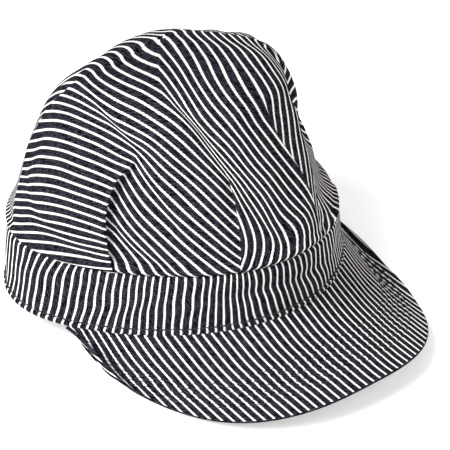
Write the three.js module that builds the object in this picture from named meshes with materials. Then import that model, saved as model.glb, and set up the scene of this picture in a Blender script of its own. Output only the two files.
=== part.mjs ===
// Railroad engineer cap: a pleated crown of hickory-stripe denim on a tall headband, with a stiff
// curved visor. Millimetres, +Z up, the visor towards -Y, the wearer's right hand towards -X.
// The cap lies on a table as it would by itself: on the two drooping corners of its visor and on
// the rear of its headband, with the front of the band a little raised.
import * as THREE from 'three';
import { mergeVertices } from 'three/addons/utils/BufferGeometryUtils.js';

// Headband: a doubled strip of denim, sewn to a ring
const HEAD_HALF_WIDTH = 80;
const BAND_HEIGHT = 26.6;
const BAND_WALL = 2.6;
const BAND_SIDE_LEAN = -6.8; // the top of the band stands this far out from its foot, at the sides
const BAND_FRONT_LEAN = 4;
const BAND_REAR_LEAN = 2.3;
// A soft crease across the front of the band: its depth, its place and its half width
const BUCKLE_DEPTH = 1.4;
const BUCKLE_ANGLE = 3; // degrees from the front
const BUCKLE_SPAN = 22;
const BUCKLE_SHARE = 0.55; // of the band's height
const BUCKLE_WIDTH = 0.2;

// Crown: one round piece of denim, pleated down to the size of the band
const CROWN_HEIGHT = 75.7;
const CROWN_WALL = 1.6;
const CROWN_SLOUCH = 5.3; // how far the top leans to the wearer's left
const CROWN_NOD = 12.8; // how far the top leans forward
const GATHER_DEPTH = 1.6;

// Visor: two layers of denim over a stiff sheet
const VISOR_REACH = 50.5; // from the front of the band to the tip
const VISOR_HALF_WIDTH = 78.6;
const VISOR_ARCH = 16.7; // how much higher the tip is than the corners
const VISOR_WALL = 2.4;
const VISOR_SEAM_ANGLE = 66.2; // how far round the band the visor is sewn, each way
const VISOR_END = 3; // how wide the visor still is where its seam ends

// How the pieces meet, and how the cap lies
const SEAM_GAP = 0.3;
const REST_TILT = 8.8; // the headband's plane against the table
const SETTLE = 1; // how far the cloth is pressed flat where it rests

// Plan of the head opening: the radius at equal angles from the front round to the rear, as a share
// of the half width. An elastic draws the rear in.
const PLAN = [
  { angle: 0, radius: 1.225 },
  { angle: 45, radius: 1.08 },
  { angle: 90, radius: 1 },
  { angle: 135, radius: 0.85 },
  { angle: 180, radius: 0.83 },
];

// Crown sections from the band to the top: the rise as a share of the crown's height, and the
// width, and the depth in front of and behind the middle, as shares of the band's own
const CROWN_SECTIONS = [
  { rise: 0, width: 1, front: 1, rear: 1 },
  { rise: 0.08, width: 0.975, front: 0.97, rear: 0.975 },
  { rise: 0.3, width: 0.9, front: 0.86, rear: 0.945 },
  { rise: 0.5, width: 0.84, front: 0.76, rear: 0.885 },
  { rise: 0.7, width: 0.79, front: 0.67, rear: 0.71 },
  { rise: 0.85, width: 0.685, front: 0.6, rear: 0.46 },
  { rise: 0.95, width: 0.51, front: 0.4, rear: 0.24 },
  { rise: 1, width: 0, front: 0, rear: 0 },
];

// Folds of the crown, from the wearer's right rear round the front to the left rear. path is the
// fold's angle from the front, in degrees, at each of FOLD_RISES. lip is how far the cloth on the
// fold's right stands out over the cloth on its left, and valley how deep the soft crease above it
// is, both as shares of the crown's height; the lip ends at the rise called end. panel is the
// number of mesh columns from this fold to the next.
const FOLD_RISES = [0, 0.3, 0.5, 0.62, 0.75, 0.9];
const FOLDS = [
  { path: [97, 107, 110, 107, 103, 103], lip: 0, end: 0, valley: -0.018, panel: 9 },
  { path: [52, 57, 54, 47, 52, 74], lip: 0.078, end: 0.62, valley: 0.035, panel: 9 },
  { path: [17, 14.5, 14.5, 16.5, 20.5, 30], lip: -0.065, end: 0.54, valley: 0.03, panel: 7 },
  { path: [-8, -12.5, -13, -9.5, -7.5, -6.5], lip: 0, end: 0, valley: 0.018, panel: 4 },
  { path: [-11, -19.5, -28, -29.5, -29, -48], lip: 0, end: 0, valley: 0.012, panel: 6 },
  { path: [-43, -44, -46, -48, -50, -62], lip: 0.065, end: 0.52, valley: 0.02, panel: 8 },
  { path: [-78, -80, -79, -76, -80, -92], lip: -0.078, end: 0.6, valley: 0.02, panel: 7 },
  { path: [-112, -116, -118, -116, -114, -112], lip: 0, end: 0, valley: -0.012, panel: 26 },
];
const LIP_REACH = 16; // degrees over which a lapped pleat sinks back into the crown
const VALLEY_REACH = 6;
const PLEAT_TURN = 0.9; // degrees from the lip of a pleat to the cloth under it
const LIP_FADE = [-0.12, 0.04]; // a lip sinks away between these rises, counted from its end
const VALLEY_START = [-0.1, 0.06]; // and its crease begins between these
const VALLEY_FADE = [0.8, 0.97]; // rises between which the creases smooth out
const LIP_AT_SEAM = 0.15; // share of a pleat's relief that is left where the band holds it
const SEAM_BLEND = 0.1; // rise at which the crown is free of the seam
const GATHER_PITCH = 20; // degrees from one gather of the rear to the next
const GATHER_SPAN = 55; // degrees each way from the middle of the rear
const GATHER_FULL = 0.6; // share of that span with full gathers
const GATHER_FADE = [0.1, 0.7]; // rises between which they smooth out

const CROWN_ROWS = 22;
const BAND_ROWS = 5;
const BAND_COLUMNS = 88;
const VISOR_COLUMNS = 44;
const VISOR_ROWS = 9;
const VISOR_SQUARENESS = 2.45; // exponent of the visor's outline: 2 is an ellipse
const VISOR_DROOP = 2.8; // how much sooner the visor falls at its seam than at its edge
const VISOR_TUCK = 2.8; // how sharply the outline turns back to the ends of the seam

const DEG = Math.PI / 180;
const smooth = (low, high, x) => THREE.MathUtils.smoothstep(x, low, high);

// A smooth curve through the rows of a table, against the column called key
function through(rows, key, columns) {
  const places = rows.map((row) => row[key]);
  const values = rows.flatMap((row) => columns.map((name) => row[name]));
  const curve = new THREE.CubicInterpolant(places, values, columns.length);
  return (x) => Array.from(curve.evaluate(x));
}

// A smooth closed outline through values at equal angles from the front to the rear, the same on
// both sides
function evenOutline(values) {
  const last = values.length - 1;
  const weight = (i) => (i === 0 || i === last ? 0.5 : 1);
  const sum = (terms) => terms.reduce((total, term, i) => total + weight(i) * term, 0);
  const waves = values.map(
    (_, wave) => (2 / last) * sum(values.map((value, i) => value * Math.cos((Math.PI * i * wave) / last))),
  );
  return (angle) => sum(waves.map((size, wave) => size * Math.cos(wave * angle * DEG)));
}

const planRadius = evenOutline(PLAN.map((row) => row.radius));
const sectionAt = through(
  CROWN_SECTIONS.map((row, index) => ({ ...row, step: index / (CROWN_SECTIONS.length - 1) })),
  'step',
  ['rise', 'width', 'front', 'rear'],
);
const foldPaths = FOLDS.map(({ path }) =>
  through(FOLD_RISES.map((rise, index) => ({ rise, angle: path[index] })), 'rise', ['angle']),
);
const foldAngle = (fold, rise) => foldPaths[fold](Math.min(rise, FOLD_RISES.at(-1)))[0];

// The headband's outer face, in the band's own plane: angle from the front, share of its height
function bandPoint(angle, share, inset = 0) {
  const radius = HEAD_HALF_WIDTH * planRadius(angle) - inset;
  const ahead = (1 + Math.cos(angle * DEG)) / 2;
  const fullLean = BAND_FRONT_LEAN * ahead + BAND_REAR_LEAN * (1 - ahead);
  const sideways = radius + BAND_SIDE_LEAN * share;
  const lengthways = radius + fullLean * share;
  return new THREE.Vector3(
    -sideways * Math.sin(angle * DEG),
    -lengthways * Math.cos(angle * DEG),
    BAND_HEIGHT * share,
  );
}

// The smooth crown without its folds: angle from the front, step from the band to the top
function crownPoint(angle, step) {
  const [rise, width, front, rear] = sectionAt(step);
  const ahead = (1 + Math.cos(angle * DEG)) / 2;
  const seamInset = ((BAND_WALL - CROWN_WALL) / 2) * (1 - smooth(0, SEAM_BLEND, rise));
  const foot = bandPoint(angle, 1, seamInset);
  return new THREE.Vector3(
    foot.x * width + CROWN_SLOUCH * rise,
    foot.y * (front * ahead + rear * (1 - ahead)) - CROWN_NOD * rise,
    BAND_HEIGHT + SEAM_GAP + CROWN_HEIGHT * rise,
  );
}

function crownNormal(angle, step) {
  const small = 0.01;
  const low = Math.min(step, 1 - 2 * small);
  const across = crownPoint(angle + 1, low).sub(crownPoint(angle - 1, low));
  const up = crownPoint(angle, low + small).sub(crownPoint(angle, Math.max(low - small, 0)));
  return up.cross(across).normalize();
}

// How far the folded cloth stands out from the smooth crown
function crownRelief(angle, rise) {
  let relief = 0;
  FOLDS.forEach(({ lip, end, valley }, fold) => {
    const away = angle - foldAngle(fold, rise);
    const turn = ((away + 540) % 360) - 180;
    const standing = 1 - smooth(end + LIP_FADE[0], end + LIP_FADE[1], rise);
    const lapped = lip * standing * Math.exp(-Math.abs(turn) / LIP_REACH);
    relief += (Math.sign(turn) * lapped) / 2;
    const begun = smooth(end + VALLEY_START[0], end + VALLEY_START[1], rise);
    const creased = begun * (1 - smooth(...VALLEY_FADE, rise));
    relief -= valley * creased * Math.exp(-((turn / VALLEY_REACH) ** 2));
  });
  const fromRear = 180 - Math.abs(((angle + 540) % 360) - 180);
  const inSpan = 1 - smooth(GATHER_SPAN * GATHER_FULL, GATHER_SPAN, fromRear);
  const gathered = inSpan * (1 - smooth(...GATHER_FADE, rise));
  const wave = Math.cos((fromRear / GATHER_PITCH) * 2 * Math.PI);
  const held = LIP_AT_SEAM + (1 - LIP_AT_SEAM) * smooth(0, SEAM_BLEND, rise);
  return (relief * CROWN_HEIGHT + GATHER_DEPTH * wave * gathered) * held;
}

// The angles of the mesh's columns at one rise: two at each fold, and evenly spaced between folds
function columnAngles(rise) {
  return FOLDS.flatMap(({ panel }, fold) => {
    const next = (fold + 1) % FOLDS.length;
    const start = foldAngle(fold, rise) - PLEAT_TURN;
    const stop = foldAngle(next, rise) + PLEAT_TURN - (next === 0 ? 360 : 0);
    return Array.from({ length: panel }, (_, i) => start + ((stop - start) * i) / (panel - 1));
  });
}

// The cap's place on the table: tilted about the rear of the band, pressed flat where it rests
const rearPoint = bandPoint(180, 0);
function onTable(point) {
  const placed = point.clone().sub(rearPoint);
  placed.applyAxisAngle(new THREE.Vector3(1, 0, 0), -REST_TILT * DEG).add(rearPoint);
  placed.z = Math.max(placed.z - SETTLE, 0);
  return placed;
}

// A closed mesh from rings or strips of points of equal length, each joined to the next
function skin(rows, { ring, loop }) {
  const columns = rows[0].length;
  const index = [];
  const rowCount = loop ? rows.length : rows.length - 1;
  const columnCount = ring ? columns : columns - 1;
  for (let r = 0; r < rowCount; r += 1) {
    for (let c = 0; c < columnCount; c += 1) {
      const a = r * columns + c;
      const b = r * columns + ((c + 1) % columns);
      const d = ((r + 1) % rows.length) * columns + c;
      const e = ((r + 1) % rows.length) * columns + ((c + 1) % columns);
      index.push(a, b, e, a, e, d);
    }
  }
  return { points: rows.flat(), index };
}

function toMesh(name, { points, index }, color, roughness) {
  const positions = points.flatMap((p) => [p.x, p.y, p.z]);
  let geometry = new THREE.BufferGeometry();
  geometry.setAttribute('position', new THREE.Float32BufferAttribute(positions, 3));
  geometry.setIndex(index);
  geometry = mergeVertices(geometry, 1e-4);
  const corners = geometry.index.array;
  const kept = [];
  for (let i = 0; i < corners.length; i += 3) {
    const [a, b, c] = corners.slice(i, i + 3);
    if (a !== b && b !== c && c !== a) kept.push(a, b, c);
  }
  geometry.setIndex(kept);
  geometry.computeVertexNormals();
  const material = new THREE.MeshStandardMaterial({ color, roughness, metalness: 0 });
  const mesh = new THREE.Mesh(geometry, material);
  mesh.name = name;
  return mesh;
}

// Crown: the outer skin from the band to the top, then the inner skin back down to the band
function crown() {
  const surface = (depth) =>
    Array.from({ length: CROWN_ROWS }, (_, row) => {
      const step = row / CROWN_ROWS;
      const rise = sectionAt(step)[0];
      return columnAngles(rise).map((angle) => {
        const out = crownRelief(angle, rise) - depth;
        return crownPoint(angle, step).addScaledVector(crownNormal(angle, step), out);
      });
    });
  const top = (depth) => {
    const apex = crownPoint(0, 1);
    apex.z -= depth;
    return columnAngles(1).map(() => apex);
  };
  const outer = [...surface(0), top(0)];
  const inner = [...surface(CROWN_WALL), top(CROWN_WALL)];
  // the cut edge lies level on the band
  const seamHeight = BAND_HEIGHT + SEAM_GAP;
  [outer[0], inner[0]].forEach((row) => row.forEach((point) => point.setZ(seamHeight)));
  const rows = [...outer, ...inner.reverse()].map((row) => row.map(onTable));
  return skin(rows, { ring: true, loop: true });
}

// Headband: up its outer face and down its inner face, with a crease across the right front
function headband() {
  const angles = Array.from({ length: BAND_COLUMNS }, (_, i) => 180 - (i * 360) / BAND_COLUMNS);
  const buckle = (angle, share) => {
    const along = Math.exp(-(((angle - BUCKLE_ANGLE) / BUCKLE_SPAN) ** 2));
    return BUCKLE_DEPTH * along * Math.exp(-(((share - BUCKLE_SHARE) / BUCKLE_WIDTH) ** 2));
  };
  const face = (inset) =>
    Array.from({ length: BAND_ROWS + 1 }, (_, row) => {
      const share = row / BAND_ROWS;
      return angles.map((angle) => bandPoint(angle, share, inset + buckle(angle, share)));
    });
  const rows = [...face(0), ...face(BAND_WALL).reverse()].map((row) => row.map(onTable));
  return skin(rows, { ring: true, loop: true });
}

// Visor: from under the band's foot it falls steeply, then flattens towards its drooping edge
function visor() {
  const ends = onTable(bandPoint(VISOR_SEAM_ANGLE, 0));
  const tip = onTable(bandPoint(0, 0)).y - VISOR_REACH;
  const outline = (t) => {
    const side = Math.sign(t) * Math.abs(Math.sin((t * Math.PI) / 2)) ** (2 / VISOR_SQUARENESS);
    const ahead = Math.max(Math.cos((t * Math.PI) / 2), 0) ** (2 / VISOR_SQUARENESS);
    const tuck = Math.exp(-((ahead * VISOR_TUCK) ** 2));
    const x = VISOR_HALF_WIDTH * side * (1 - tuck) + (Math.abs(ends.x) + VISOR_END) * Math.sign(t) * tuck;
    const y = ends.y + (tip - ends.y) * ahead;
    const level = VISOR_ARCH * (1 - (x / VISOR_HALF_WIDTH) ** 2);
    return new THREE.Vector3(x, y, THREE.MathUtils.lerp(level, ends.z - VISOR_WALL, tuck));
  };
  const stations = Array.from({ length: VISOR_COLUMNS + 1 }, (_, i) => 1 - (2 * i) / VISOR_COLUMNS);
  const lowest = Math.min(...stations.map((t) => outline(t).z));
  const seamAngle = (t) => {
    const side = Math.sign(t) * Math.abs(Math.sin((t * Math.PI) / 2)) ** (2 / VISOR_SQUARENESS);
    return -Math.asin(side * Math.sin(VISOR_SEAM_ANGLE * DEG)) / DEG;
  };
  // across: 0 to 1 from the seam to the edge, and thick: 0 on the underside, 1 on top
  const point = (t, across, thick) => {
    const seam = bandPoint(seamAngle(t), 0);
    seam.z -= SEAM_GAP + VISOR_WALL * (1 - thick);
    const root = onTable(seam);
    const edge = outline(t);
    edge.z = Math.max(edge.z - lowest - SETTLE, 0) + VISOR_WALL * thick;
    const fall = (1 - across) ** VISOR_DROOP;
    return new THREE.Vector3(
      THREE.MathUtils.lerp(root.x, edge.x, across),
      THREE.MathUtils.lerp(root.y, edge.y, across),
      edge.z + (root.z - edge.z) * fall,
    );
  };
  const strip = (across, thick) => stations.map((t) => point(t, across, thick));
  const tucked = (thick) =>
    stations.map((t) => {
      const inner = bandPoint(seamAngle(t), 0, BAND_WALL);
      inner.z -= SEAM_GAP + VISOR_WALL * (1 - thick);
      return onTable(inner);
    });
  const shares = Array.from({ length: VISOR_ROWS + 1 }, (_, i) => i / VISOR_ROWS);
  const top = shares.map((across) => strip(across, 1));
  const under = shares.map((across) => strip(across, 0)).reverse();
  const rows = [tucked(1), ...top, ...under, tucked(0)];
  const { points, index } = skin(rows, { ring: false, loop: true });
  // the two ends of the visor, closed by fans of triangles from top to underside
  const columns = stations.length;
  const half = rows.length / 2;
  for (let r = 0; r < half - 1; r += 1) {
    const mate = rows.length - 1 - r;
    [0, columns - 1].forEach((c, last) => {
      const quad = [r * columns + c, (r + 1) * columns + c, (mate - 1) * columns + c, mate * columns + c];
      if (last) quad.reverse();
      index.push(quad[0], quad[1], quad[2], quad[0], quad[2], quad[3]);
    });
  }
  return { points, index };
}

const cap = new THREE.Group();
cap.add(toMesh('crown', crown(), 0x2b2a33, 0.9));
cap.add(toMesh('headband', headband(), 0x2b2a33, 0.9));
cap.add(toMesh('visor', visor(), 0x2b2a33, 0.9));

// The origin is on the table, under the middle of the cap
const extent = new THREE.Box3().setFromObject(cap);
const middle = extent.getCenter(new THREE.Vector3());
cap.children.forEach((mesh) => mesh.position.set(-middle.x, -middle.y, -extent.min.z));

export default cap;
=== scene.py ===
# Railroad engineer cap: hickory-stripe denim pleated by hand into a tall headband, with a stiff
# curved visor. It is built as it is sewn: the cloth, the headband, the crown, the visor, the
# stitching. Lengths are millimetres until a mesh is made, and angles are degrees from the front,
# growing towards the wearer's right hand.
import math

import bpy
import numpy as np
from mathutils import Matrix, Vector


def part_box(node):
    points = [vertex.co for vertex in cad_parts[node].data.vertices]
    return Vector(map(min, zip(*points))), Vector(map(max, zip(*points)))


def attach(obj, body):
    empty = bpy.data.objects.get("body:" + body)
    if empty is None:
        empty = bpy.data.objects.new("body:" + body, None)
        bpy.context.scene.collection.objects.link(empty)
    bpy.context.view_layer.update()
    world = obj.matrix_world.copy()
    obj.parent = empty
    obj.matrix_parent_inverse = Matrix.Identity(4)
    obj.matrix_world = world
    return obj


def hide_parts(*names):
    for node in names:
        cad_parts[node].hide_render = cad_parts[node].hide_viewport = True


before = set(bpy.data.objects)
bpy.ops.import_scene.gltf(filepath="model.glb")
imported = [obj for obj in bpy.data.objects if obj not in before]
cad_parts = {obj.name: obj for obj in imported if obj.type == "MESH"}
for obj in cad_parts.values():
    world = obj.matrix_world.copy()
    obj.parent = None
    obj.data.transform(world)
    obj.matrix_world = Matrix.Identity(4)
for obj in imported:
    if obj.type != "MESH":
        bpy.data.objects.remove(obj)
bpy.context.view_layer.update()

# Hickory-stripe denim.
# Cotton twill, indigo dyed in the yarn: white stripes between near-black ones. The twill's slanting
# ribs show as fine paler flecks and give the stripes' edges tiny teeth.
STRIPE_PERIOD = 3.75
WHITE_SHARE = 0.238
# ribs to the millimetre across and along the stripes: one every 0.7 mm, leaning 28 degrees
RIBS_ACROSS = 1.26
RIBS_ALONG = 0.67
TOOTH_LENGTH = 0.09
WANDER = 0.3
EDGE_SOFTNESS = 0.2


def linear(code):
    """A colour written as sRGB hex, in the linear values that shaders take."""
    parts = [int(code[i:i + 2], 16) / 255 for i in (1, 3, 5)]
    return [c / 12.92 if c <= 0.04045 else ((c + 0.055) / 1.055) ** 2.4 for c in parts] + [1.0]


def add(tree, kind, inputs=None, **settings):
    """Adds one shader node. inputs gives each socket a value or the socket it is linked from."""
    node = tree.nodes.new(kind)
    for key, value in settings.items():
        setattr(node, key, value)
    for key, value in (inputs or {}).items():
        if isinstance(value, bpy.types.NodeSocket):
            tree.links.new(value, node.inputs[key])
        else:
            node.inputs[key].default_value = value
    return node


def maths(tree, operation, *values):
    return add(tree, "ShaderNodeMath", dict(enumerate(values)), operation=operation).outputs[0]


def denim(name, dark="#060608", fleck="#454350", white="#f1efeb", shade="#c9c6c6"):
    """Matt striped twill. The cloth map's X runs across the stripes and its Y along them, in
    millimetres of cloth. Cotton scatters all light, so there is no gloss."""
    material = bpy.data.materials.new(name)
    material.use_nodes = True
    tree = material.node_tree
    tree.nodes.clear()
    place = add(tree, "ShaderNodeUVMap", uv_map="cloth").outputs["UV"]
    axes = add(tree, "ShaderNodeSeparateXYZ", {"Vector": place}).outputs
    across, along = axes["X"], axes["Y"]
    rib = maths(tree, "ADD", maths(tree, "MULTIPLY", across, RIBS_ACROSS),
                maths(tree, "MULTIPLY", along, RIBS_ALONG))
    tooth = maths(tree, "SINE", maths(tree, "MULTIPLY", rib, 2 * math.pi))
    # the ribs give the stripe's edge tiny teeth, and uneven yarns make it wander
    wander = add(tree, "ShaderNodeTexNoise", {"Vector": place, "Scale": 0.8, "Detail": 3.0}).outputs["Fac"]
    drift = maths(tree, "MULTIPLY", maths(tree, "SUBTRACT", wander, 0.5), WANDER)
    teeth = maths(tree, "MULTIPLY", tooth, TOOTH_LENGTH)
    shifted = maths(tree, "ADD", across, maths(tree, "ADD", teeth, drift))
    turn = maths(tree, "MULTIPLY", shifted, 2 * math.pi / STRIPE_PERIOD)
    wave = maths(tree, "COSINE", turn)
    level = math.cos(math.pi * WHITE_SHARE)
    stripe = add(tree, "ShaderNodeMapRange",
                 {"Value": wave, "From Min": level - EDGE_SOFTNESS, "From Max": level + EDGE_SOFTNESS},
                 interpolation_type="SMOOTHSTEP").outputs["Result"]
    # flecks: undyed yarn glints through between the ribs, in short slanting dashes
    ribbed = add(tree, "ShaderNodeCombineXYZ",
                 {"X": maths(tree, "MULTIPLY", rib, 1.1), "Y": maths(tree, "MULTIPLY", across, 0.9)})
    glints = add(tree, "ShaderNodeTexNoise",
                 {"Vector": ribbed.outputs["Vector"], "Scale": 1.0, "Detail": 2.0}).outputs["Fac"]
    both = maths(tree, "ADD", maths(tree, "MULTIPLY", tooth, 0.2), glints)
    flecked = add(tree, "ShaderNodeMapRange",
                  {"Value": both, "From Min": 0.5, "From Max": 0.78},
                  interpolation_type="SMOOTHSTEP").outputs["Result"]
    navy = add(tree, "ShaderNodeMix", {"Factor": flecked, "A": linear(dark), "B": linear(fleck)},
               data_type="RGBA").outputs["Result"]
    pale = add(tree, "ShaderNodeMix",
               {"Factor": maths(tree, "MULTIPLY", flecked, 0.5), "A": linear(white), "B": linear(shade)},
               data_type="RGBA").outputs["Result"]
    colour = add(tree, "ShaderNodeMix", {"Factor": stripe, "A": navy, "B": pale}, data_type="RGBA")
    height = maths(tree, "ADD", maths(tree, "MULTIPLY", tooth, 0.5), glints)
    bump = add(tree, "ShaderNodeBump", {"Height": height, "Strength": 0.35, "Distance": 0.0002})
    surface = add(tree, "ShaderNodeBsdfPrincipled",
                  {"Base Color": colour.outputs["Result"], "Roughness": 0.92, "Specular IOR Level": 0.0,
                   "Normal": bump.outputs["Normal"]})
    add(tree, "ShaderNodeOutputMaterial", {"Surface": surface.outputs["BSDF"]})
    return material


# Headband.
# A strip of the same denim, doubled and sewn to a ring, its stripes upright. An elastic in its rear
# gathers it to the head. The lower edge is a turned hem with a row of stitches, and a soft crease
# runs across the front where the cap is gripped.
HEAD_HALF_WIDTH = 80
BAND_HEIGHT = 26.6
BAND_WALL = 2.6
PLAN_RADII = [1.225, 1.08, 1, 0.85, 0.83]
# how far the band's top stands out past its foot: at the sides, where it leans in, the front and
# the rear
SIDE_LEAN = -6.8
FRONT_LEAN = 4
REAR_LEAN = 2.3
REST_TILT = 8.8
SETTLE = 1
SEAM_GAP = 0.3
CREASE_DEPTH = 1.7
GATHER_DEPTH = 0.9
GATHER_PITCH = 7.5
HEM_BULGE = 0.8
HEM_SEAM_DEPTH = 0.55
TOP_TURN_IN = 0.9


def smooth(low, high, x):
    t = np.clip((x - low) / (high - low), 0, 1)
    return t * t * (3 - 2 * t)


def waves(x, y, seed, count=5):
    """Soft random unevenness between about -1 and 1, x and y in millimetres of cloth."""
    dice = np.random.default_rng(seed)
    total = 0
    for _ in range(count):
        turn, size = dice.uniform(0, 2 * math.pi, 2), dice.uniform(11, 34)
        total = total + np.sin((x * math.cos(turn[0]) + y * math.sin(turn[0])) * 6.28 / size + turn[1])
    return total / math.sqrt(count)


def face_outward(piece, fill=False):
    """Turns all faces outwards, after closing the open ends if fill is set."""
    bpy.ops.object.select_all(action="DESELECT")
    bpy.context.view_layer.objects.active = piece
    piece.select_set(True)
    bpy.ops.object.mode_set(mode="EDIT")
    bpy.ops.mesh.select_all(action="SELECT")
    if fill:
        bpy.ops.mesh.fill_holes(sides=0)
    bpy.ops.mesh.normals_make_consistent(inside=False)
    bpy.ops.object.mode_set(mode="OBJECT")
    piece.select_set(False)


def cloth_mesh(name, points, uv, ring, tip=None, loop=False):
    """A grid of points as a mesh with its cloth UV map. ring joins the last column to the first,
    and uv then has one column more than points. loop joins the last row to the first in the same
    way. tip closes the last row to one point, given as (point, uv)."""
    rows, columns = points.shape[:2]
    index = np.arange(rows * columns).reshape(rows, columns)
    wrapped = np.hstack([index, index[:, :1]]) if ring else index
    if loop:
        wrapped = np.vstack([wrapped, wrapped[:1]])
        uv = np.vstack([uv, uv[-1:] + [0, 0.5]]) if len(uv) == rows else uv
    quads = np.stack([wrapped[:-1, :-1], wrapped[:-1, 1:], wrapped[1:, 1:], wrapped[1:, :-1]], -1)
    quad_uv = np.stack([uv[:-1, :-1], uv[:-1, 1:], uv[1:, 1:], uv[1:, :-1]], -2)
    faces = [tuple(face) for face in quads.reshape(-1, 4)]
    loops = [quad_uv.reshape(-1, 2)]
    vertices = points.reshape(-1, 3)
    if tip is not None:
        vertices = np.vstack([vertices, tip[0]])
        last, last_uv = wrapped[-1], uv[-1]
        for c in range(len(last) - 1):
            faces.append((last[c], last[c + 1], rows * columns))
        fan = [np.stack([last_uv[c], last_uv[c + 1], tip[1]]) for c in range(len(last) - 1)]
        loops.append(np.vstack(fan))
    mesh = bpy.data.meshes.new(name)
    mesh.from_pydata((vertices / 1000).tolist(), [], faces)
    layer = mesh.uv_layers.new(name="cloth")
    layer.data.foreach_set("uv", np.vstack(loops).ravel())
    mesh.polygons.foreach_set("use_smooth", np.ones(len(mesh.polygons), dtype=bool))
    mesh.update()
    piece = bpy.data.objects.new(name, mesh)
    bpy.context.collection.objects.link(piece)
    face_outward(piece)
    return piece


def plan_radius(angle):
    """The head opening's radius, through five values at equal angles from the front to the rear."""
    last = len(PLAN_RADII) - 1
    weight = np.array([0.5] + [1] * (last - 1) + [0.5])
    total = 0
    for wave in range(last + 1):
        size = 2 / last * sum(
            w * r * math.cos(math.pi * i * wave / last) for i, (w, r) in enumerate(zip(weight, PLAN_RADII)))
        total = total + weight[wave] * size * np.cos(np.radians(wave * angle))
    return total


def band_point(angle, share, inset=0.0):
    """The band's outer face in its own plane: angle from the front, share of its height."""
    radius = HEAD_HALF_WIDTH * plan_radius(angle) - inset
    ahead = (1 + np.cos(np.radians(angle))) / 2
    lean = FRONT_LEAN * ahead + REAR_LEAN * (1 - ahead)
    x = -(radius + SIDE_LEAN * share) * np.sin(np.radians(angle))
    y = -(radius + lean * share) * np.cos(np.radians(angle))
    return np.stack(np.broadcast_arrays(x, y, BAND_HEIGHT * share), -1)


REAR = band_point(np.array(180.0), 0.0)


def on_table(points):
    """Tilts the cap as it rests: on the rear of its band, with the front raised."""
    tilt = math.radians(REST_TILT)
    y, z = points[..., 1] - REAR[1], points[..., 2]
    settled = -y * math.sin(tilt) + z * math.cos(tilt) - SETTLE
    placed = [points[..., 0], REAR[1] + y * math.cos(tilt) + z * math.sin(tilt), np.maximum(settled, 0)]
    return np.stack(placed, -1)


angles = 180 - np.arange(720) * 0.5
profile = np.linspace(0, 1, 27)
turned = np.linspace(0, math.pi, 9)[1:-1]
# up the outer face, over the rounded top, down the inner face and round the hem
shares = np.concatenate([profile, 1 + 0 * turned, profile[::-1], 0 * turned])
insets = np.concatenate([0 * profile, (1 - np.cos(turned)) / 2 * BAND_WALL,
                         BAND_WALL + 0 * profile, (1 + np.cos(turned)) / 2 * BAND_WALL])
rounding = np.concatenate([0 * profile, np.sin(turned) * 0.2, 0 * profile, -np.sin(turned) * 0.9])
A, S = np.meshgrid(angles, shares)
inset = np.broadcast_to(insets[:, None], A.shape)
all_round = np.append(angles, -180.0)
# the strip is eased on at the wearer's right side and held tight across the front
EASE = [(-180, 1), (-110, 1), (-90, 0.9), (-40, 1.08), (-5, 1.1), (8, 1.05), (20, 1.02), (42, 1), (52, 0.9),
        (62, 0.87), (75, 0.77), (90, 0.72), (110, 0.7), (135, 0.9), (180, 1)]
eased = np.interp(all_round, *zip(*EASE))
girth = np.linalg.norm(np.diff(band_point(all_round, 0.5), axis=0), axis=1)
girth = np.concatenate([[0], np.cumsum(girth * (eased[1:] + eased[:-1]) / 2)])
outer = 1 - inset / BAND_WALL
crease = np.exp(-((A - 3) / 22) ** 2) * np.exp(-((S - 0.55 - 0.004 * (A - 3)) / 0.13) ** 2)
from_rear = 180 - np.abs(A)
gathers = np.cos(from_rear / GATHER_PITCH * 2 * math.pi) * (1 - smooth(30, 55, from_rear))
uneven = waves(girth[:-1][None, :] + 0 * S, S * BAND_HEIGHT * 1.4, 4)
HEM_SHARE = 0.085
hem = HEM_BULGE * np.exp(-((S - 0.03) / 0.05) ** 2)
hem = hem - HEM_SEAM_DEPTH * np.exp(-((S - HEM_SHARE) / 0.018) ** 2)
push = uneven * 0.35 + gathers * GATHER_DEPTH - crease * CREASE_DEPTH
push = push * smooth(0, 0.2, S) * (1 - smooth(0.8, 1, S))
tucked_in = TOP_TURN_IN * smooth(0.92, 1, S) ** 2 * outer
band = band_point(A, S, inset - push - hem * outer + tucked_in)
band[..., 2] += rounding[:, None]
band = on_table(band)
Y_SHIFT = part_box("headband")[1][1] * 1000 - on_table(band_point(np.array(180.0), 1.0))[1]
SHIFT = np.array([0, Y_SHIFT, 0])
climb = np.concatenate([[0], np.cumsum(np.linalg.norm(np.diff(
    np.stack([insets, shares * BAND_HEIGHT + rounding], -1), axis=0), axis=1))])
close = np.append(climb, climb[-1] + 0.5)
U = np.broadcast_to(girth[None, :], (len(close), len(girth))).copy()
V = np.broadcast_to(close[:, None], U.shape)
# how many degrees the stripes lean to the wearer's left as they rise, low, midway and high up
LEAN = [(-180, 0, 0, 0), (-60, -8, -8, -6), (-15, -16, -18, -10), (-5, -18, -18, -10), (5, -20, -15, -7),
        (13, -20, -11, -7), (20, -6, -4, 0), (27, 4, 0, 0), (35, -4, 0, 4), (42, -3, 3, 4), (52, 8, 5, 4),
        (62, 10, 3, 3), (73, 7, 3, 17), (85, 6, 6, 9), (110, 6, 6, 7), (135, 0, 0, 0), (180, 0, 0, 0)]
lean_at = np.array(LEAN, float)
levels = BAND_HEIGHT * np.array([0.15, 0.5, 0.85])
by_angle = np.stack([np.interp(all_round, lean_at[:, 0], lean_at[:, 1 + i]) for i in range(3)])
slant = np.empty_like(U)
for c in range(U.shape[1]):
    slant[:, c] = np.tan(np.radians(np.interp(V[:, c], levels, by_angle[:, c])))
rise_of = np.diff(V, axis=0, prepend=V[:1])
sway = -np.cumsum(slant * rise_of, axis=0) * (V < BAND_HEIGHT + 3)
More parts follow.
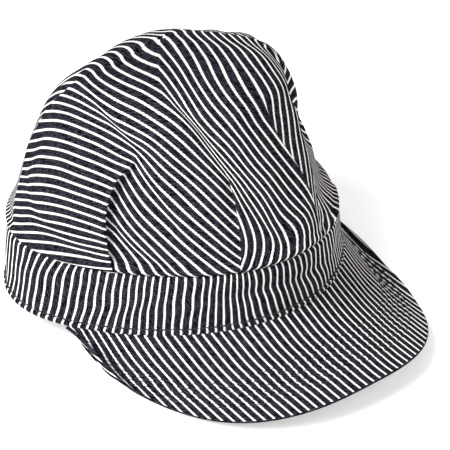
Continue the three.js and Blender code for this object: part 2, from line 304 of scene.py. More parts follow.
sway += waves(U * 0.5, V * 1.2, 9) * 0.35 * smooth(0, 12, V)
headband = cloth_mesh("headband_denim", band + SHIFT, np.stack([U + sway, V], -1),
                      ring=True, loop=True)
headband.data.materials.append(denim("Denim_HickoryStripe_Band"))
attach(headband, "root")
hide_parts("headband")

# Crown.
# One round piece of denim, pleated down to the size of the band. Two laps stand over the panel
# beside the wearer's right temple, two more on the left, and creases run up from them over the
# soft top. The stripes follow the cloth: front to back on top, level at the sides.
CROWN_HEIGHT = 75.7
CROWN_CLOTH = 1.0
# how far the top leans to the wearer's left, and forward
CROWN_SLOUCH = 5.3
CROWN_NOD = 12.8
# degrees over which the step at a lap fades into the panels beside it
LIP_REACH = 16
CROWN_GATHER_DEPTH = 1.6
CROWN_GATHER_PITCH = 20
# the crown's outline, rise as a share of its height and the others as shares of the band's plan
STEPS = np.arange(8) / 7
SECTIONS = {
    "rise": [0, 0.08, 0.3, 0.5, 0.7, 0.85, 0.95, 1],
    "width": [1, 0.975, 0.9, 0.84, 0.79, 0.685, 0.51, 0],
    "front": [1, 0.97, 0.86, 0.76, 0.67, 0.6, 0.4, 0],
    "rear": [1, 0.975, 0.945, 0.885, 0.71, 0.46, 0.24, 0],
}
FOLD_RISES = [0, 0.3, 0.5, 0.62, 0.75, 0.9, 0.97]
# path: the fold's angle at each of FOLD_RISES. lip: how far the cloth on the right of the fold
# stands over the cloth on its left. valley: depth of the crease above the lip's end. Both are
# shares of the crown's height. end: the rise where the lip ends. dart: sewn flat, with no cloth
# doubled back under it.
FOLDS = [
    {"path": [97, 107, 110, 107, 103, 103, 110], "lip": 0, "end": 0, "valley": -0.018},
    {"path": [52, 57, 54, 47, 52, 74, 90], "lip": 0.078, "end": 0.62, "valley": 0.035},
    {"path": [17, 14.5, 14.5, 16.5, 20.5, 29.5, 35], "lip": -0.065, "end": 0.54, "valley": 0.03},
    {"path": [-11, -13.8, -11.4, -9, -8, -7.5, -8], "lip": 0.006, "end": 0.84, "valley": 0.012,
     "dart": True},
    {"path": [-13, -20, -24.5, -26.5, -26.5, -50, -62], "lip": 0.006, "end": 0.93, "valley": 0,
     "dart": True},
    {"path": [-43, -44, -46, -48, -52, -80, -90], "lip": 0.045, "end": 0.52, "valley": 0.02},
    {"path": [-78, -80, -79, -76, -82, -106, -116], "lip": -0.078, "end": 0.6, "valley": 0.02},
    {"path": [-112, -116, -118, -116, -114, -122, -130], "lip": 0, "end": 0, "valley": -0.012},
]
# How a lap doubles back, from the cloth on top to the cloth under it: degrees towards the top
# cloth's side, and height as a share of half the lap
LAP = [(1.3, 1.0), (0.6, 1.0), (0.15, 0.93), (0.0, 0.78), (0.15, 0.6), (0.9, 0.5), (2.0, 0.4),
       (3.0, 0.0), (2.0, -0.75), (0.9, -0.95), (0.0, -1.0), (-1.3, -1.0)]
# the point after which the cloth map is cut, since what is doubled under doesn't show
LAP_CUT = 7
DART = [(0.1, 1.0), (0.04, 1.0), (-0.04, -1.0), (-0.1, -1.0)]
DART_CUT = 1
# two of FOLDS that are treated apart
TEMPLE_LAP = 1
FRONT_LAP = 2
# degrees between the mesh's columns on a panel
COLUMN_PITCH = 0.95


def through(places, values, x):
    """A smooth curve through values at places, straightening towards both ends."""
    places, values = np.asarray(places, float), np.asarray(values, float)
    gaps, steps = np.diff(places), np.diff(values)
    slopes = np.empty_like(values)
    slopes[1:-1] = (values[2:] - values[:-2]) / (places[2:] - places[:-2])
    slopes[0] = 1.5 * steps[0] / gaps[0] - 0.5 * slopes[1]
    slopes[-1] = 1.5 * steps[-1] / gaps[-1] - 0.5 * slopes[-2]
    x = np.clip(x, places[0], places[-1])
    i = np.clip(np.searchsorted(places, x, side="right") - 1, 0, len(gaps) - 1)
    t = (x - places[i]) / gaps[i]
    return (values[i] * (1 + 2 * t) * (1 - t) ** 2 + slopes[i] * gaps[i] * t * (1 - t) ** 2
            + values[i + 1] * t * t * (3 - 2 * t) + slopes[i + 1] * gaps[i] * t * t * (t - 1))


def crown_point(angle, step):
    rise, width, front, rear = (through(STEPS, SECTIONS[key], step) for key in SECTIONS)
    ahead = (1 + np.cos(np.radians(angle))) / 2
    foot = band_point(angle, 1.0, 0.5 * (1 - smooth(0, 0.1, rise)))
    x = foot[..., 0] * width + CROWN_SLOUCH * rise
    y = foot[..., 1] * (front * ahead + rear * (1 - ahead)) - CROWN_NOD * rise
    return np.stack([x, y, BAND_HEIGHT + SEAM_GAP + CROWN_HEIGHT * rise], -1)


def crown_frame(angle, step):
    """Unit vectors of the smooth crown: round it, up it and out of it."""
    low = np.minimum(step, 0.98)
    across = crown_point(angle + 1, low) - crown_point(angle - 1, low)
    up = crown_point(angle, low + 0.01) - crown_point(angle, np.maximum(low - 0.01, 0))
    across /= np.linalg.norm(across, axis=-1, keepdims=True)
    up -= (up * across).sum(-1, keepdims=True) * across
    up /= np.linalg.norm(up, axis=-1, keepdims=True)
    return across, up, np.cross(up, across)


steps = np.linspace(0, 0.994, 104)
rises = through(STEPS, SECTIONS["rise"], steps)
fold_at = [through(FOLD_RISES, fold["path"], rises) for fold in FOLDS]
lap_at = [1 - smooth(f["end"] - 0.12, f["end"] + 0.04, rises) for f in FOLDS]
# the mesh's columns: panel by panel, each a share of the way from one fold to the next
columns = []
for k, fold in enumerate(FOLDS):
    lip, dart = fold["lip"], "dart" in fold
    lap, cut = (DART, DART_CUT) if dart else (LAP, LAP_CUT)
    if lip < 0:
        lap, cut = [(-d, h) for d, h in lap[::-1]], len(lap) - 1 - cut
    beside = abs(lap[0][0])
    if lip:
        for i, (offset, height) in enumerate(lap):
            plain = beside - 2 * beside * i / (len(lap) - 1)
            before = i <= cut if lip > 0 else i < cut
            columns.append({"angle": fold_at[k] + plain + (offset - plain) * lap_at[k], "own": (k, height),
                            "cut": i == (cut if lip > 0 else cut - 1),
                            "panel": (k - 1) % len(FOLDS) if before else k, "share": 1.0 if before else 0.0})
    start = fold_at[k] - (beside if lip else 0)
    nxt = (k + 1) % len(FOLDS)
    stop = fold_at[nxt] - (360 if nxt == 0 else 0)
    if FOLDS[nxt]["lip"]:
        stop = stop + (DART if "dart" in FOLDS[nxt] else LAP)[0][0]
    count = max(int(round((start - stop).mean() / COLUMN_PITCH)), 6)
    for i in range(1 if lip else 0, count):
        share = i / count
        columns.append({"angle": start + (stop - start) * share, "own": None, "cut": False,
                        "panel": k, "share": share})
A = np.stack([c["angle"] for c in columns], 1)
S = np.broadcast_to(steps[:, None], A.shape)
R = np.broadcast_to(rises[:, None], A.shape)


def turn_from(angle, path):
    return (angle - path + 540) % 360 - 180


relief = np.zeros_like(A)
for k, fold in enumerate(FOLDS):
    turn = turn_from(A, fold_at[k][:, None])
    lapped = fold["lip"] * lap_at[k][:, None] * np.exp(-np.abs(turn) / LIP_REACH)
    lift = np.sign(turn) * lapped / 2
    for c, column in enumerate(columns):
        if column["own"] and column["own"][0] == k:
            lift[:, c] = abs(fold["lip"]) * lap_at[k] / 2 * column["own"][1]
    relief += lift
    # the front crease runs on over the top, the others fade out below it
    fade = (0.86, 0.94) if k == FRONT_LAP else (0.76, 0.9)
    creased = smooth(fold["end"] - 0.1, fold["end"] + 0.06, R) * (1 - smooth(*fade, R))
    dip = 0.45 * np.exp(-(turn / 6) ** 2) + 0.55 * np.exp(-np.abs(turn) / 2.5)
    relief -= fold["valley"] * creased * dip
held = 0.15 + 0.85 * smooth(0, 0.1, R)
from_rear = 180 - np.abs(turn_from(A, 0))
gathered = (1 - smooth(33, 55, from_rear)) * (1 - smooth(0.1, 0.7, R))
gathers = CROWN_GATHER_DEPTH * np.cos(from_rear / CROWN_GATHER_PITCH * 2 * math.pi) * gathered
relief = (relief * CROWN_HEIGHT + gathers) * held

# Small creases where the panels buckle: (angle, rise) along each, its depth and its half width
CREASES = [
    ([(49.5, 0.625), (41.5, 0.495), (38, 0.39), (34, 0.285)], 0.9, 1.7),
    ([(55.5, 0.235), (48.5, 0.14), (42, 0.085), (33.5, 0.015)], 1.0, 2.0),
    ([(13.5, 0.52), (12, 0.4), (9, 0.285), (5.5, 0.2), (3, 0.12)], 0.9, 2.2),
    ([(104, 0.33), (90, 0.2), (75, 0.13), (62, 0.1)], 0.9, 2.6),
]
MM_PER_DEGREE = 1.25
crushed = np.zeros_like(A)
for path, depth, width in CREASES:
    points = np.array(path) * [MM_PER_DEGREE, CROWN_HEIGHT]
    here = np.stack([A * MM_PER_DEGREE, R * CROWN_HEIGHT], -1)
    nearest = np.full(A.shape, 1e9)
    for a, b in zip(points[:-1], points[1:]):
        t = np.clip(((here - a) * (b - a)).sum(-1) / ((b - a) ** 2).sum(), 0, 1)
        nearest = np.minimum(nearest, np.linalg.norm(here - a - t[..., None] * (b - a), axis=-1))
    relief -= depth * np.exp(-(nearest / width) ** 2)
    crushed += 0.9 * np.exp(-(nearest / width) ** 2)
slack = smooth(0.02, 0.2, R) * (1 - smooth(0.85, 1, R))
relief += 0.5 * waves(A * MM_PER_DEGREE, R * CROWN_HEIGHT, 3) * slack
# beyond the front darts the wearer's left side sinks in
relief -= 4.5 * np.exp(-((A + 40) / 13) ** 2) * np.exp(-((R - 0.42) / 0.17) ** 2)
relief -= 4.5 * np.exp(-((A + 44) / 20) ** 2) * np.exp(-((R - 0.18) / 0.11) ** 2)
# the cloth rolls out over the seam that holds it
relief += 1.9 * np.exp(-((R - 0.03) / 0.026) ** 2) - 1.5 * np.exp(-(R / 0.012) ** 2)

smooth_crown = crown_point(A, S)
round_it, up_it, out_of_it = crown_frame(A, S)

# Behind and to the left of its highest point the top breaks over in a ridge: the cloth in front of
# it stands taut and the cloth behind it drops. behind and sideways are millimetres from the ridge
# and along it, towards the wearer's right.
RIDGE_WAY = (0.63, 0.776)
RIDGE_OFFSET = 9
RIDGE_LIFT = 4.2
RIDGE_DROP = 4.2
from_apex = (smooth_crown[..., 0] - CROWN_SLOUCH, smooth_crown[..., 1] + CROWN_NOD)
behind = from_apex[0] * RIDGE_WAY[0] + from_apex[1] * RIDGE_WAY[1] - RIDGE_OFFSET
sideways = from_apex[1] * RIDGE_WAY[0] - from_apex[0] * RIDGE_WAY[1]
raised = RIDGE_LIFT * np.exp(-((sideways - 2) / 24) ** 2) * np.exp(-(np.minimum(behind, 0) / 15) ** 2)
ridge = (raised - RIDGE_DROP * smooth(0, 6, behind)) * (1 - smooth(25, 55, behind))
relief += ridge * smooth(0.82, 0.95, R) * (1 - smooth(34, 58, np.abs(sideways)))
crown = smooth_crown + out_of_it * relief[..., None]

# The way the stripes run on each panel, in degrees above the level line towards the wearer's right,
# at TURN_RISES: a row for each station, a share of the way across the panel
TURN_RISES = [0.04, 0.2, 0.4, 0.55, 0.7, 0.8, 0.88, 0.96]
TURNS = [
    (0, 0.0, [-20, -20, -18, -16, -27, -50, -32, -20]),
    (0, 0.15, [-20, -19, -17, -16, -21, -28, -24, -14]),
    (0, 0.5, [-14, -6, -1, -1, -1, -3, -4, 5]),
    (0, 1.0, [-6, 13, 12, 16, 22, 25, 21, 26]),
    (1, 0.0, [50, 38, 52, 56, 28, 25, 22, 26]),
    (1, 0.5, [40, 40, 46, 40, 43, 35, 29, 40]),
    (1, 0.75, [40, 42, 48, 44, 48, 44, 38, 38]),
    (1, 1.0, [38, 52, 57, 56, 58, 50, 42, 36]),
    (2, 0.0, [128, 98, 88, 68, 66, 66, 72, 77]),
    (2, 0.25, [126, 96, 66, 72, 68, 68, 76, 88]),
    (2, 0.5, [126, 56, 66, 67, 64, 68, 82, 100]),
    (2, 0.75, [128, 60, 58, 62, 62, 68, 92, 112]),
    (2, 1.0, [125, 72, 62, 62, 72, 82, 104, 122]),
    (3, 0.0, [138, 128, 124, 118, 108, 100, 106, 118]),
    (3, 0.5, [136, 127, 124, 118, 112, 110, 128, 140]),
    (3, 1.0, [135, 126, 124, 120, 116, 128, 158, 160]),
    (4, 0.0, [345, 300, 240, 215, 190, 190, 195, 170]),
    (4, 0.15, [345, 270, 234, 212, 189, 193, 198, 175]),
    (4, 0.35, [250, 233, 233, 208, 189, 193, 198, 180]),
    (4, 1.0, [233, 228, 215, 204, 190, 188, 186, 178]),
    (5, 0.0, [139, 128, 125, 150, 175, 180, 180, 178]),
    (5, 0.5, [139, 138, 133, 138, 155, 170, 178, 178]),
    (5, 1.0, [130, 139, 130, 132, 150, 158, 170, 180]),
    (6, 0.0, [178, 170, 170, 166, 160, 160, 165, 180]),
    (6, 0.5, [190, 183, 181, 181, 181, 182, 186, 190]),
    (6, 1.0, [200, 198, 198, 196, 202, 205, 205, 200]),
    (7, 0.0, [200, 198, 198, 196, 202, 205, 205, 200]),
    (7, 0.5, [270, 270, 270, 270, 270, 270, 270, 270]),
    (7, 1.0, [300, 315, 318, 318, 312, 305, 320, 338]),
]
turns = np.zeros_like(A)
for c, column in enumerate(columns):
    stations = [row for row in TURNS if row[0] == column["panel"]]
    shares = [row[1] for row in stations]
    by_rise = [np.interp(column["share"], shares, [row[2][i] for row in stations])
               for i in range(len(TURN_RISES))]
    turns[:, c] = np.interp(rises, TURN_RISES, by_rise)
along = np.cos(np.radians(turns))[..., None] * round_it + np.sin(np.radians(turns))[..., None] * up_it
across = -np.sin(np.radians(turns))[..., None] * round_it + np.cos(np.radians(turns))[..., None] * up_it
# a slope across the way counts this many times as much as one along it
STRAIGHTNESS = 5.0
# how firmly the last row round the top is held flat
TOP_HOLD = 20


def lay_cloth(points, way, crush, joined, ring):
    """Millimetres of cloth along a field of directions over a grid of points: as near as a smooth
    fit comes to a slope of 1 along way and 0 across it. crush is how many times more cloth lies in
    a place than shows, joined is 0 in the cells that a lap hides. Solved by conjugate gradients."""
    def cells(field, up_sign, side_sign):
        """Each cell's four corners added up, the lower two times up_sign and the first two times
        side_sign."""
        wide = np.concatenate([field, field[:, :1]], 1) if ring else field
        pairs = wide[1:] + up_sign * wide[:-1]
        return pairs[:, 1:] + side_sign * pairs[:, :-1]

    up = cells(points, -1, 1) / 2
    side = cells(points, 1, -1) / 2
    flat = np.cross(side, up)
    area = np.linalg.norm(flat, axis=-1) + 1e-4
    flat /= area[..., None]
    ahead = cells(way, 1, 1)
    ahead -= (ahead * flat).sum(-1, keepdims=True) * flat
    ahead /= np.linalg.norm(ahead, axis=-1, keepdims=True) + 1e-9
    beside = np.cross(flat, ahead)
    # the two slopes of the cloth in a cell, from its differences up and along the row
    lift_a, lift_b = np.cross(up, flat), np.cross(flat, side)
    ahead_side, ahead_up = (lift_a * ahead).sum(-1) / area, (lift_b * ahead).sum(-1) / area
    beside_side, beside_up = (lift_a * beside).sum(-1) / area, (lift_b * beside).sum(-1) / area
    pull = np.minimum(area, 4) * joined
    goal = cells(crush, 1, 1) / 4
    tie = 0.04 * joined + 2e-4

    def gather(side_part, up_part, corner_part):
        total = np.zeros_like(crush)
        wide = np.zeros((total.shape[0], total.shape[1] + 1)) if ring else np.zeros_like(total)
        wide[:-1, :-1] += -side_part - up_part + corner_part
        wide[:-1, 1:] += side_part - up_part - corner_part
        wide[1:, :-1] += -side_part + up_part - corner_part
        wide[1:, 1:] += side_part + up_part + corner_part
        if ring:
            wide[:, 0] += wide[:, -1]
            return wide[:, :-1]
        return wide

    def slopes(x):
        wide = np.concatenate([x, x[:, :1]], 1) if ring else x
        a, b, c, d = wide[:-1, :-1], wide[:-1, 1:], wide[1:, :-1], wide[1:, 1:]
        return (b - a + d - c) / 2, (c - a + d - b) / 2, a - b - c + d

    def apply(x):
        run, climb, twist = slopes(x)
        ahead_slope = ahead_side * run + ahead_up * climb
        beside_slope = beside_side * run + beside_up * climb
        side_part = pull * (ahead_side * ahead_slope + STRAIGHTNESS * beside_side * beside_slope) / 2
        up_part = pull * (ahead_up * ahead_slope + STRAIGHTNESS * beside_up * beside_slope) / 2
        # loose ties keep the hidden cells and the finest differences smooth
        total = gather(side_part + tie * run / 2, up_part + tie * climb / 2, tie * twist)
        total[-1] += TOP_HOLD * (x[-1] - x[-1].mean()) * ring
        return total

    side_goal, up_goal = pull * ahead_side * goal / 2, pull * ahead_up * goal / 2
    wanted = gather(side_goal, up_goal, np.zeros_like(pull))
    if ring:
        slant = ((points[-1] - points[-1].mean(0)) * way[-1]).sum(-1)
        wanted[-1] += TOP_HOLD * (slant - slant.mean())
    scale = np.zeros_like(crush)
    for s, u in ((-1, -1), (1, -1), (-1, 1), (1, 1)):
        own = (ahead_side * s + ahead_up * u) ** 2
        own = own + STRAIGHTNESS * (beside_side * s + beside_up * u) ** 2
        share = pull * own / 4 + tie * 1.5
        spot = np.zeros((crush.shape[0], crush.shape[1] + (1 if ring else 0)))
        rows = slice(None, -1) if u < 0 else slice(1, None)
        places = slice(None, -1) if s < 0 else slice(1, None)
        spot[rows, places] += share
        if ring:
            spot[:, 0] += spot[:, -1]
            spot = spot[:, :-1]
        scale += spot
    scale[-1] += TOP_HOLD * ring
    x = np.zeros_like(crush)
    rest = wanted - apply(x)
    push = rest / scale
    size = (rest * push).sum()
    stride = push.copy()
    first = size
    for _ in range(2500):
        moved = apply(stride)
        amount = size / (stride * moved).sum()
        x += amount * stride
        rest -= amount * moved
        push = rest / scale
        new = (rest * push).sum()
        if new < first * 1e-9:
            break
        stride = push + new / size * stride
        size = new
    return x


# more cloth than shows is crushed into the valleys and the small creases
crush = np.ones_like(A)
for k, amount in ((TEMPLE_LAP, 1.8), (FRONT_LAP, 1.7)):
    turn = turn_from(A, fold_at[k][:, None])
    fade = (0.9, 0.96) if k == FRONT_LAP else (0.8, 0.92)
    deep = smooth(FOLDS[k]["end"] - 0.06, FOLDS[k]["end"] + 0.08, R) * (1 - smooth(*fade, R))
    crush += amount * deep * np.exp(-(turn / 1.8) ** 2)
crush += crushed
# How full the cloth lies away from the folds: angle, then millimetres of cloth to each millimetre
# of crown at FULL_RISES
FULL_RISES = [0.1, 0.3, 0.5, 0.65, 0.8, 0.9, 0.97]
FULLNESS = [
    (-180, [1.0, 1.0, 1.0, 1.0, 1.0, 1.1, 1.2]),
    (-90, [1.0, 1.0, 1.0, 1.0, 1.1, 1.2, 1.2]),
    (-60, [1.0, 1.1, 1.4, 1.8, 2.3, 2.5, 2.2]),
    (-40, [1.5, 1.6, 1.5, 1.6, 2.1, 2.5, 2.2]),
    (-28, [1.7, 1.7, 1.4, 1.0, 1.0, 1.2, 1.3]),
    (-20, [1.6, 1.1, 0.62, 0.62, 0.85, 1.3, 1.3]),
    (-12, [2.2, 1.35, 0.85, 0.78, 1.1, 1.45, 1.4]),
    (-4, [2.0, 0.98, 0.78, 0.88, 0.98, 1.3, 1.45]),
    (4, [1.8, 0.78, 0.88, 1.08, 1.36, 1.42, 1.52]),
    (14, [1.35, 1.02, 0.86, 1.0, 1.36, 1.47, 1.85]),
    (22, [1.1, 1.06, 1.2, 0.86, 1.75, 1.75, 1.85]),
    (34, [1.02, 0.97, 0.95, 0.94, 1.05, 1.05, 1.75]),
    (46, [0.8, 1.05, 0.78, 0.74, 0.98, 1.1, 1.6]),
    (58, [0.9, 0.93, 0.99, 1.04, 1.55, 1.38, 1.15]),
    (70, [0.82, 0.95, 1.22, 1.34, 1.46, 1.38, 1.1]),
    (86, [1.05, 1.02, 1.25, 1.58, 1.65, 1.22, 1.05]),
    (100, [1.18, 0.93, 1.08, 1.62, 2.3, 1.35, 1.05]),
    (125, [1.0, 1.0, 1.0, 1.1, 1.2, 1.1, 1.1]),
    (180, [1.0, 1.0, 1.0, 1.0, 1.0, 1.1, 1.2]),
]
full_at = [row[0] for row in FULLNESS]
by_rise = np.array([np.interp(rises, FULL_RISES, row[1]) for row in FULLNESS])
wrapped_angle = turn_from(A, 0)
for r in range(len(rises)):
    crush[r] *= np.interp(wrapped_angle[r], full_at, by_rise[:, r])
joined = np.ones((A.shape[0] - 1, A.shape[1]))
for c, column in enumerate(columns):
    after = columns[(c + 1) % len(columns)]["own"]
    if not column["own"] or not after:
        continue
    k = column["own"][0]
    loose = (1 - (lap_at[k][1:] + lap_at[k][:-1]) / 2) ** 2
    if column["cut"]:
        joined[:, c] = loose + 1e-4
    elif min(abs(column["own"][1]), abs(after[1])) < 0.93:
        joined[:, c] = loose + 0.02 * (1 - loose)
cloth_across = lay_cloth(crown, across, crush, joined, ring=True)
cloth_along = lay_cloth(crown, along, np.ones_like(A), joined, ring=True)
anchor = next(c for c, column in enumerate(columns)
              if column["own"] and column["own"][0] == FRONT_LAP and column["own"][1] == 0.93)
# the middle of a white stripe meets the edge of the front lap half way up the crown
ANCHOR_ROW = 45
cloth_across -= cloth_across[ANCHOR_ROW, anchor]
uv = np.stack([cloth_across, cloth_along], -1)
uv = np.concatenate([uv, uv[:, :1]], 1)
apex = crown_point(np.array(0.0), np.array(1.0)) + [0, 0, 0.2]
crown_piece = cloth_mesh("crown_denim", on_table(crown) + SHIFT, uv, ring=True,
                         tip=(on_table(apex) + SHIFT, uv[-1].mean(0)))
thick = crown_piece.modifiers.new("cloth", "SOLIDIFY")
thick.thickness = CROWN_CLOTH / 1000
thick.offset = -1
# single cloth inside a lap, so that its tight folds stay clean
group = crown_piece.vertex_groups.new(name="whole wall")
thin = np.zeros(A.shape)
for c, column in enumerate(columns):
    if column["own"]:
        thin[:, c] = lap_at[column["own"][0]]
lapped = thin.ravel() > 0.02
group.add(np.flatnonzero(~lapped).tolist() + [A.size], 1.0, "REPLACE")
group.add(np.flatnonzero(lapped).tolist(), 0.1, "REPLACE")
thick.vertex_group = "whole wall"
crown_piece.data.materials.append(denim("Denim_HickoryStripe_Crown"))
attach(crown_piece, "root")
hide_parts("crown")

# Visor.
# Two layers of denim over a stiff sheet, their stripes running front to back, turned in along the
# edge. Rows of dark stitching run round the outer third.
VISOR_REACH = 50.5
VISOR_HALF_WIDTH = 78.6
VISOR_ARCH = 16.7
VISOR_WALL = 2.4
VISOR_SEAM_ANGLE = 66.2
SQUARENESS = 2.45
VISOR_DROOP = 2.8
VISOR_TUCK = 2.8
# how far past the seam each end reaches, and how far the one on the wearer's right is drawn in
END_REACH_RIGHT = 1.5
END_REACH_LEFT = 3
END_DRAWN_IN = 4.5
seam_end = on_table(band_point(np.array(VISOR_SEAM_ANGLE), 0.0))
tip_y = on_table(band_point(np.array(0.0), 0.0))[1] - VISOR_REACH
stations = np.linspace(1, -1, 221)


def sideways_share(t):
    return np.sign(t) * np.abs(np.sin(t * math.pi / 2)) ** (2 / SQUARENESS)


def seam_angle(t):
    return -np.degrees(np.arcsin(sideways_share(t) * math.sin(math.radians(VISOR_SEAM_ANGLE))))


def visor_outline(t):
    ahead = np.maximum(np.cos(t * math.pi / 2), 0) ** (2 / SQUARENESS)
    tuck = np.exp(-((ahead * VISOR_TUCK) ** 2))
    end = abs(seam_end[0]) + np.where(t < 0, END_REACH_RIGHT, END_REACH_LEFT)
    x = VISOR_HALF_WIDTH * sideways_share(t) * (1 - tuck) + end * np.sign(t) * tuck
    x += END_DRAWN_IN * (t < 0) * (1 - smooth(0.35, 0.95, ahead)) * (1 - tuck)
    y = seam_end[1] + (tip_y - seam_end[1]) * ahead
    level = VISOR_ARCH * (1 - (x / VISOR_HALF_WIDTH) ** 2)
    return np.stack([x, y, level + (seam_end[2] - VISOR_WALL - level) * tuck], -1)


def visor_point(t, across, thick):
    root = band_point(seam_angle(t), 0.0) - np.stack(np.broadcast_arrays(
        0, 0, SEAM_GAP + VISOR_WALL * (1 - thick)), -1)
    root = on_table(root)
    edge = visor_outline(t)
    lowest = visor_outline(stations)[:, 2].min()
    edge[..., 2] = np.maximum(edge[..., 2] - lowest - SETTLE, 0) + VISOR_WALL * thick
    # the end on the wearer's right also rises to the headband and closes against it
    edge[..., 2] += (root[..., 2] - edge[..., 2]) * smooth(-0.8, -1, t)
    fall = (1 - across) ** VISOR_DROOP
    flat = root + (edge - root) * across[..., None]
    return np.stack([flat[..., 0], flat[..., 1], edge[..., 2] + (root - edge)[..., 2] * fall], -1)


EDGE_WALL = 1.1
SEAM_TURN = 3
STRIPE_SHIFT = 1.2
run = np.linspace(0, 1, 60)
bend = np.linspace(0.03, math.pi - 0.03, 9)
T, ACROSS = np.meshgrid(stations, run)
top = visor_point(T, ACROSS, np.ones_like(T))
side, out = np.gradient(top, axis=1), np.gradient(top, axis=0)
upward = np.cross(side, out)
upward /= np.linalg.norm(upward, axis=-1, keepdims=True)
upward *= np.sign(upward[..., 2:])
# six rows of stitching draw the cloth down between low ridges
FIRST_ROW = 12
ROW_PITCH = 3.7
STITCH_ROWS = [FIRST_ROW + ROW_PITCH * i for i in range(6)]
inland = np.linalg.norm(np.diff(top, axis=0), axis=-1)
inland = np.concatenate([np.cumsum(inland[::-1], axis=0)[::-1], np.zeros((1, len(stations)))])
ridged = smooth(9, 12, inland) * (1 - smooth(30.5, 34, inland)) * smooth(0, 0.15, 1 - np.abs(T))
top -= upward * (0.2 * ridged * np.cos((inland - FIRST_ROW) / ROW_PITCH * 2 * math.pi))[..., None]
top += upward * (0.25 * waves(T * 75, ACROSS * 45, 12) * ACROSS * (1 - ACROSS) * 4)[..., None]
near_edge = np.maximum(smooth(0.55, 1, ACROSS), smooth(0.75, 1, np.abs(T)))
wall = VISOR_WALL + (EDGE_WALL - VISOR_WALL) * near_edge
under = top - upward * wall[..., None]
under[..., 2] = np.maximum(under[..., 2], 0)
outward = out[-1] / np.linalg.norm(out[-1], axis=-1, keepdims=True)
middle, half = (top[-1] + under[-1]) / 2, (top[-1] - under[-1]) / 2
rim = np.stack([middle + half * math.cos(b) + outward * math.sin(b) * EDGE_WALL / 2 for b in bend])
seat = band_point(seam_angle(stations), 0.0, BAND_WALL)
seat[:, 2] -= SEAM_GAP
tucked = on_table(seat)
below = np.stack([tucked[:, 0], tucked[:, 1], np.maximum(tucked[:, 2] - VISOR_WALL, 0)], -1)
visor = np.concatenate([tucked[None], top, rim, under[::-1], below[None]])
# the stripes run straight back on the flat cloth, fanned a little as it is stretched over the arch
fan = np.radians(3.5 + 0.02 * top[..., 0] - 3 * (1 - ACROSS))
ahead = np.stack([np.cos(fan), -np.sin(fan), np.zeros_like(fan)], -1)
back = np.stack([np.sin(fan), np.cos(fan), np.zeros_like(fan)], -1)
whole = np.ones((top.shape[0] - 1, top.shape[1] - 1))
even = np.ones(top.shape[:2])
eased_on = 1.06 + 0.16 * smooth(0.1, -0.4, T) * (1 - smooth(0.6, 1, ACROSS))
U = lay_cloth(top, ahead, eased_on, whole, ring=False)
V = lay_cloth(top, back, even, whole, ring=False)
rim_run = np.arange(1, len(rim) + 1)[:, None] * 0.35
# STRIPE_SHIFT moves the visor's stripes sideways. The turned edge is painted all in a dark stripe:
# painted shade, for the shade that it lies in
U += STRIPE_SHIFT
rim_painted_shade = np.full((len(rim), len(stations)), STRIPE_PERIOD / 2)
U_all = np.concatenate([U[:1], U, rim_painted_shade, U[::-1], U[:1]])
V_all = np.concatenate([V[:1] + SEAM_TURN, V, V[-1:] - rim_run, V[::-1], V[:1] + SEAM_TURN])
visor_piece = cloth_mesh("visor_denim", visor + SHIFT, np.stack([U_all, V_all], -1),
                         ring=False, loop=True)
face_outward(visor_piece, fill=True)
visor_piece.data.materials.append(denim("Denim_HickoryStripe_Visor"))
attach(visor_piece, "root")
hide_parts("visor")

# Stitching.
# Lockstitch in dark navy thread, eight or nine stitches to the inch. Each stitch arches over the
# cloth and dives in at both ends.
STITCH_RINGS = 6
STITCH_SIDES = 6


def stitches(name, path, outward, thread=0.45, stitch=2.4, gap=0.5, sunk=0.05):
    """Stitches along a dense path over a surface whose outward directions are known."""
    run = np.concatenate([[0], np.cumsum(np.linalg.norm(np.diff(path, axis=0), axis=1))])
    count = int(run[-1] // (stitch + gap))
    share = np.linspace(0, 1, STITCH_RINGS)
    around = np.arange(STITCH_SIDES) / STITCH_SIDES * 2 * math.pi
    starts = np.arange(count)[:, None] * (stitch + gap) + share[None, :] * stitch
    place = np.stack([np.interp(starts, run, path[:, i]) for i in range(3)], -1)
    lift = np.stack([np.interp(starts, run, outward[:, i]) for i in range(3)], -1)
    lift /= np.linalg.norm(lift, axis=-1, keepdims=True)
    ahead = np.gradient(place, axis=1)
    ahead /= np.linalg.norm(ahead, axis=-1, keepdims=True)
    beside = np.cross(ahead, lift)
    arch = np.sin(share * math.pi) ** 0.6 * thread * 0.5 - thread * 0.35 - sunk
    girth = thread / 2 * (0.55 + 0.45 * np.sin(share * math.pi) ** 0.5)
    centre = place + lift * arch[None, :, None]
    ring = (centre[:, :, None] + beside[:, :, None] * (np.cos(around) * girth[:, None])[None, ..., None]
            + lift[:, :, None] * (np.sin(around) * girth[:, None])[None, ..., None])
    faces = []
    for s in range(count):
        first = s * STITCH_RINGS * STITCH_SIDES
        for r in range(STITCH_RINGS - 1):
            low = first + r * STITCH_SIDES
            high = low + STITCH_SIDES
            for c in range(STITCH_SIDES):
                d = (c + 1) % STITCH_SIDES
                faces.append((low + c, low + d, high + d, high + c))
        last = first + (STITCH_RINGS - 1) * STITCH_SIDES
        faces.append(tuple(range(first, first + STITCH_SIDES)))
        faces.append(tuple(range(last + STITCH_SIDES - 1, last - 1, -1)))
    mesh = bpy.data.meshes.new(name)
    mesh.from_pydata(((ring.reshape(-1, 3) + SHIFT) / 1000).tolist(), [], faces)
    mesh.polygons.foreach_set("use_smooth", np.ones(len(mesh.polygons), dtype=bool))
    piece = bpy.data.objects.new(name, mesh)
    bpy.context.collection.objects.link(piece)
    face_outward(piece)
    piece.data.materials.append(thread_material)
    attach(piece, "root")
    return piece


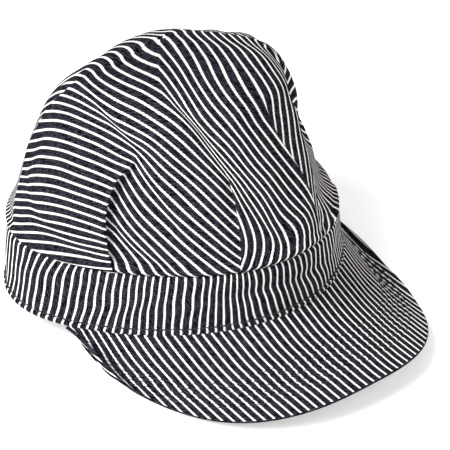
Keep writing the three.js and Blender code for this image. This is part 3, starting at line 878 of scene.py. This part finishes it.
thread_material = bpy.data.materials.new("Thread_NavyPolyester")
thread_material.use_nodes = True
thread_look = thread_material.node_tree.nodes["Principled BSDF"].inputs
thread_look["Base Color"].default_value = linear("#15141d")
thread_look["Roughness"].default_value = 0.7
sewn = np.abs(stations) < 0.93
for number, depth in enumerate(STITCH_ROWS):
    cols = np.arange(len(stations))
    rows_at = np.array([np.interp(-depth, -inland[:, c], np.arange(len(run))) for c in cols])
    low = np.clip(rows_at.astype(int), 0, len(run) - 2)
    part = (rows_at - low)[:, None]
    path = top[low, cols] * (1 - part) + top[low + 1, cols] * part
    normal = upward[low, cols]
    row = stitches(f"visor_stitching_{number + 1}", path[sewn], normal[sewn])
hem_angles = np.linspace(180, -180, 1441)
hem_path = on_table(band_point(hem_angles, HEM_SHARE, -0.15))
outward = np.stack([-np.sin(np.radians(hem_angles)), -np.cos(np.radians(hem_angles)), 0 * hem_angles], -1)
hem_row = stitches("headband_hem_stitching", hem_path, outward, thread=0.75, stitch=2.7, gap=0.25)

# Table, light and camera.
# The cap lies on an opal-white light table, which keeps its shadow faint. One broad softbox
# stands high on the wearer's right and a weak one in front.
bpy.ops.mesh.primitive_plane_add(size=6)
floor = bpy.context.object
floor.name = "table"
paper = bpy.data.materials.new("LightTable_OpalWhite")
paper.use_nodes = True
paper_look = paper.node_tree.nodes["Principled BSDF"].inputs
paper_look["Base Color"].default_value = linear("#f4f4f3")
paper_look["Roughness"].default_value = 0.9
paper_look["Emission Color"].default_value = (1, 1, 1, 1)
paper_look["Emission Strength"].default_value = 0.35
floor.data.materials.append(paper)

world = bpy.data.worlds.new("room")
bpy.context.scene.world = world
world.use_nodes = True
sky = world.node_tree.nodes["Background"].inputs
sky["Color"].default_value = (1, 1, 1, 1)
sky["Strength"].default_value = 0.56


def softbox(name, place, size, power):
    lamp = bpy.data.lights.new(name, "AREA")
    lamp.size = size
    lamp.energy = power
    lamp_object = bpy.data.objects.new(name, lamp)
    lamp_object.location = place
    aim = np.array([0, 0, 0.05]) - np.array(place)
    lamp_object.rotation_euler = (
        math.atan2(math.hypot(aim[0], aim[1]), -aim[2]), 0, math.atan2(aim[1], aim[0]) - math.pi / 2)
    bpy.context.collection.objects.link(lamp_object)


softbox("key_softbox", (-1.2, 0.1, 1.25), 1.0, 48)
softbox("fill_softbox", (0.5, -1.5, 1.2), 1.2, 8)

# the photo's camera: its angles, its distance, the point it looks at in metres, and the pixel of
# the picture where that point lies
AZIMUTH = -39.08
ELEVATION = 32.72
DISTANCE = 0.928
TARGET = (0, 0.0069, 0.049)
PICTURE_SIZE = 450
TARGET_PIXEL = (199.4, 198.1)
a, e = math.radians(AZIMUTH), math.radians(ELEVATION)
camera_data = bpy.data.cameras.new("camera")
camera_data.sensor_width = 36
camera_data.lens = 164.2
camera_data.shift_x = (PICTURE_SIZE / 2 - TARGET_PIXEL[0]) / PICTURE_SIZE
camera_data.shift_y = (TARGET_PIXEL[1] - PICTURE_SIZE / 2) / PICTURE_SIZE
camera_data.clip_start = 0.01
camera = bpy.data.objects.new("camera", camera_data)
bpy.context.scene.view_settings.view_transform = "Standard"
camera.location = np.array(TARGET) + DISTANCE * np.array(
    [math.sin(a) * math.cos(e), -math.cos(a) * math.cos(e), math.sin(e)])
camera.rotation_euler = (math.pi / 2 - e, 0, a)
bpy.context.collection.objects.link(camera)
bpy.context.scene.camera = camera
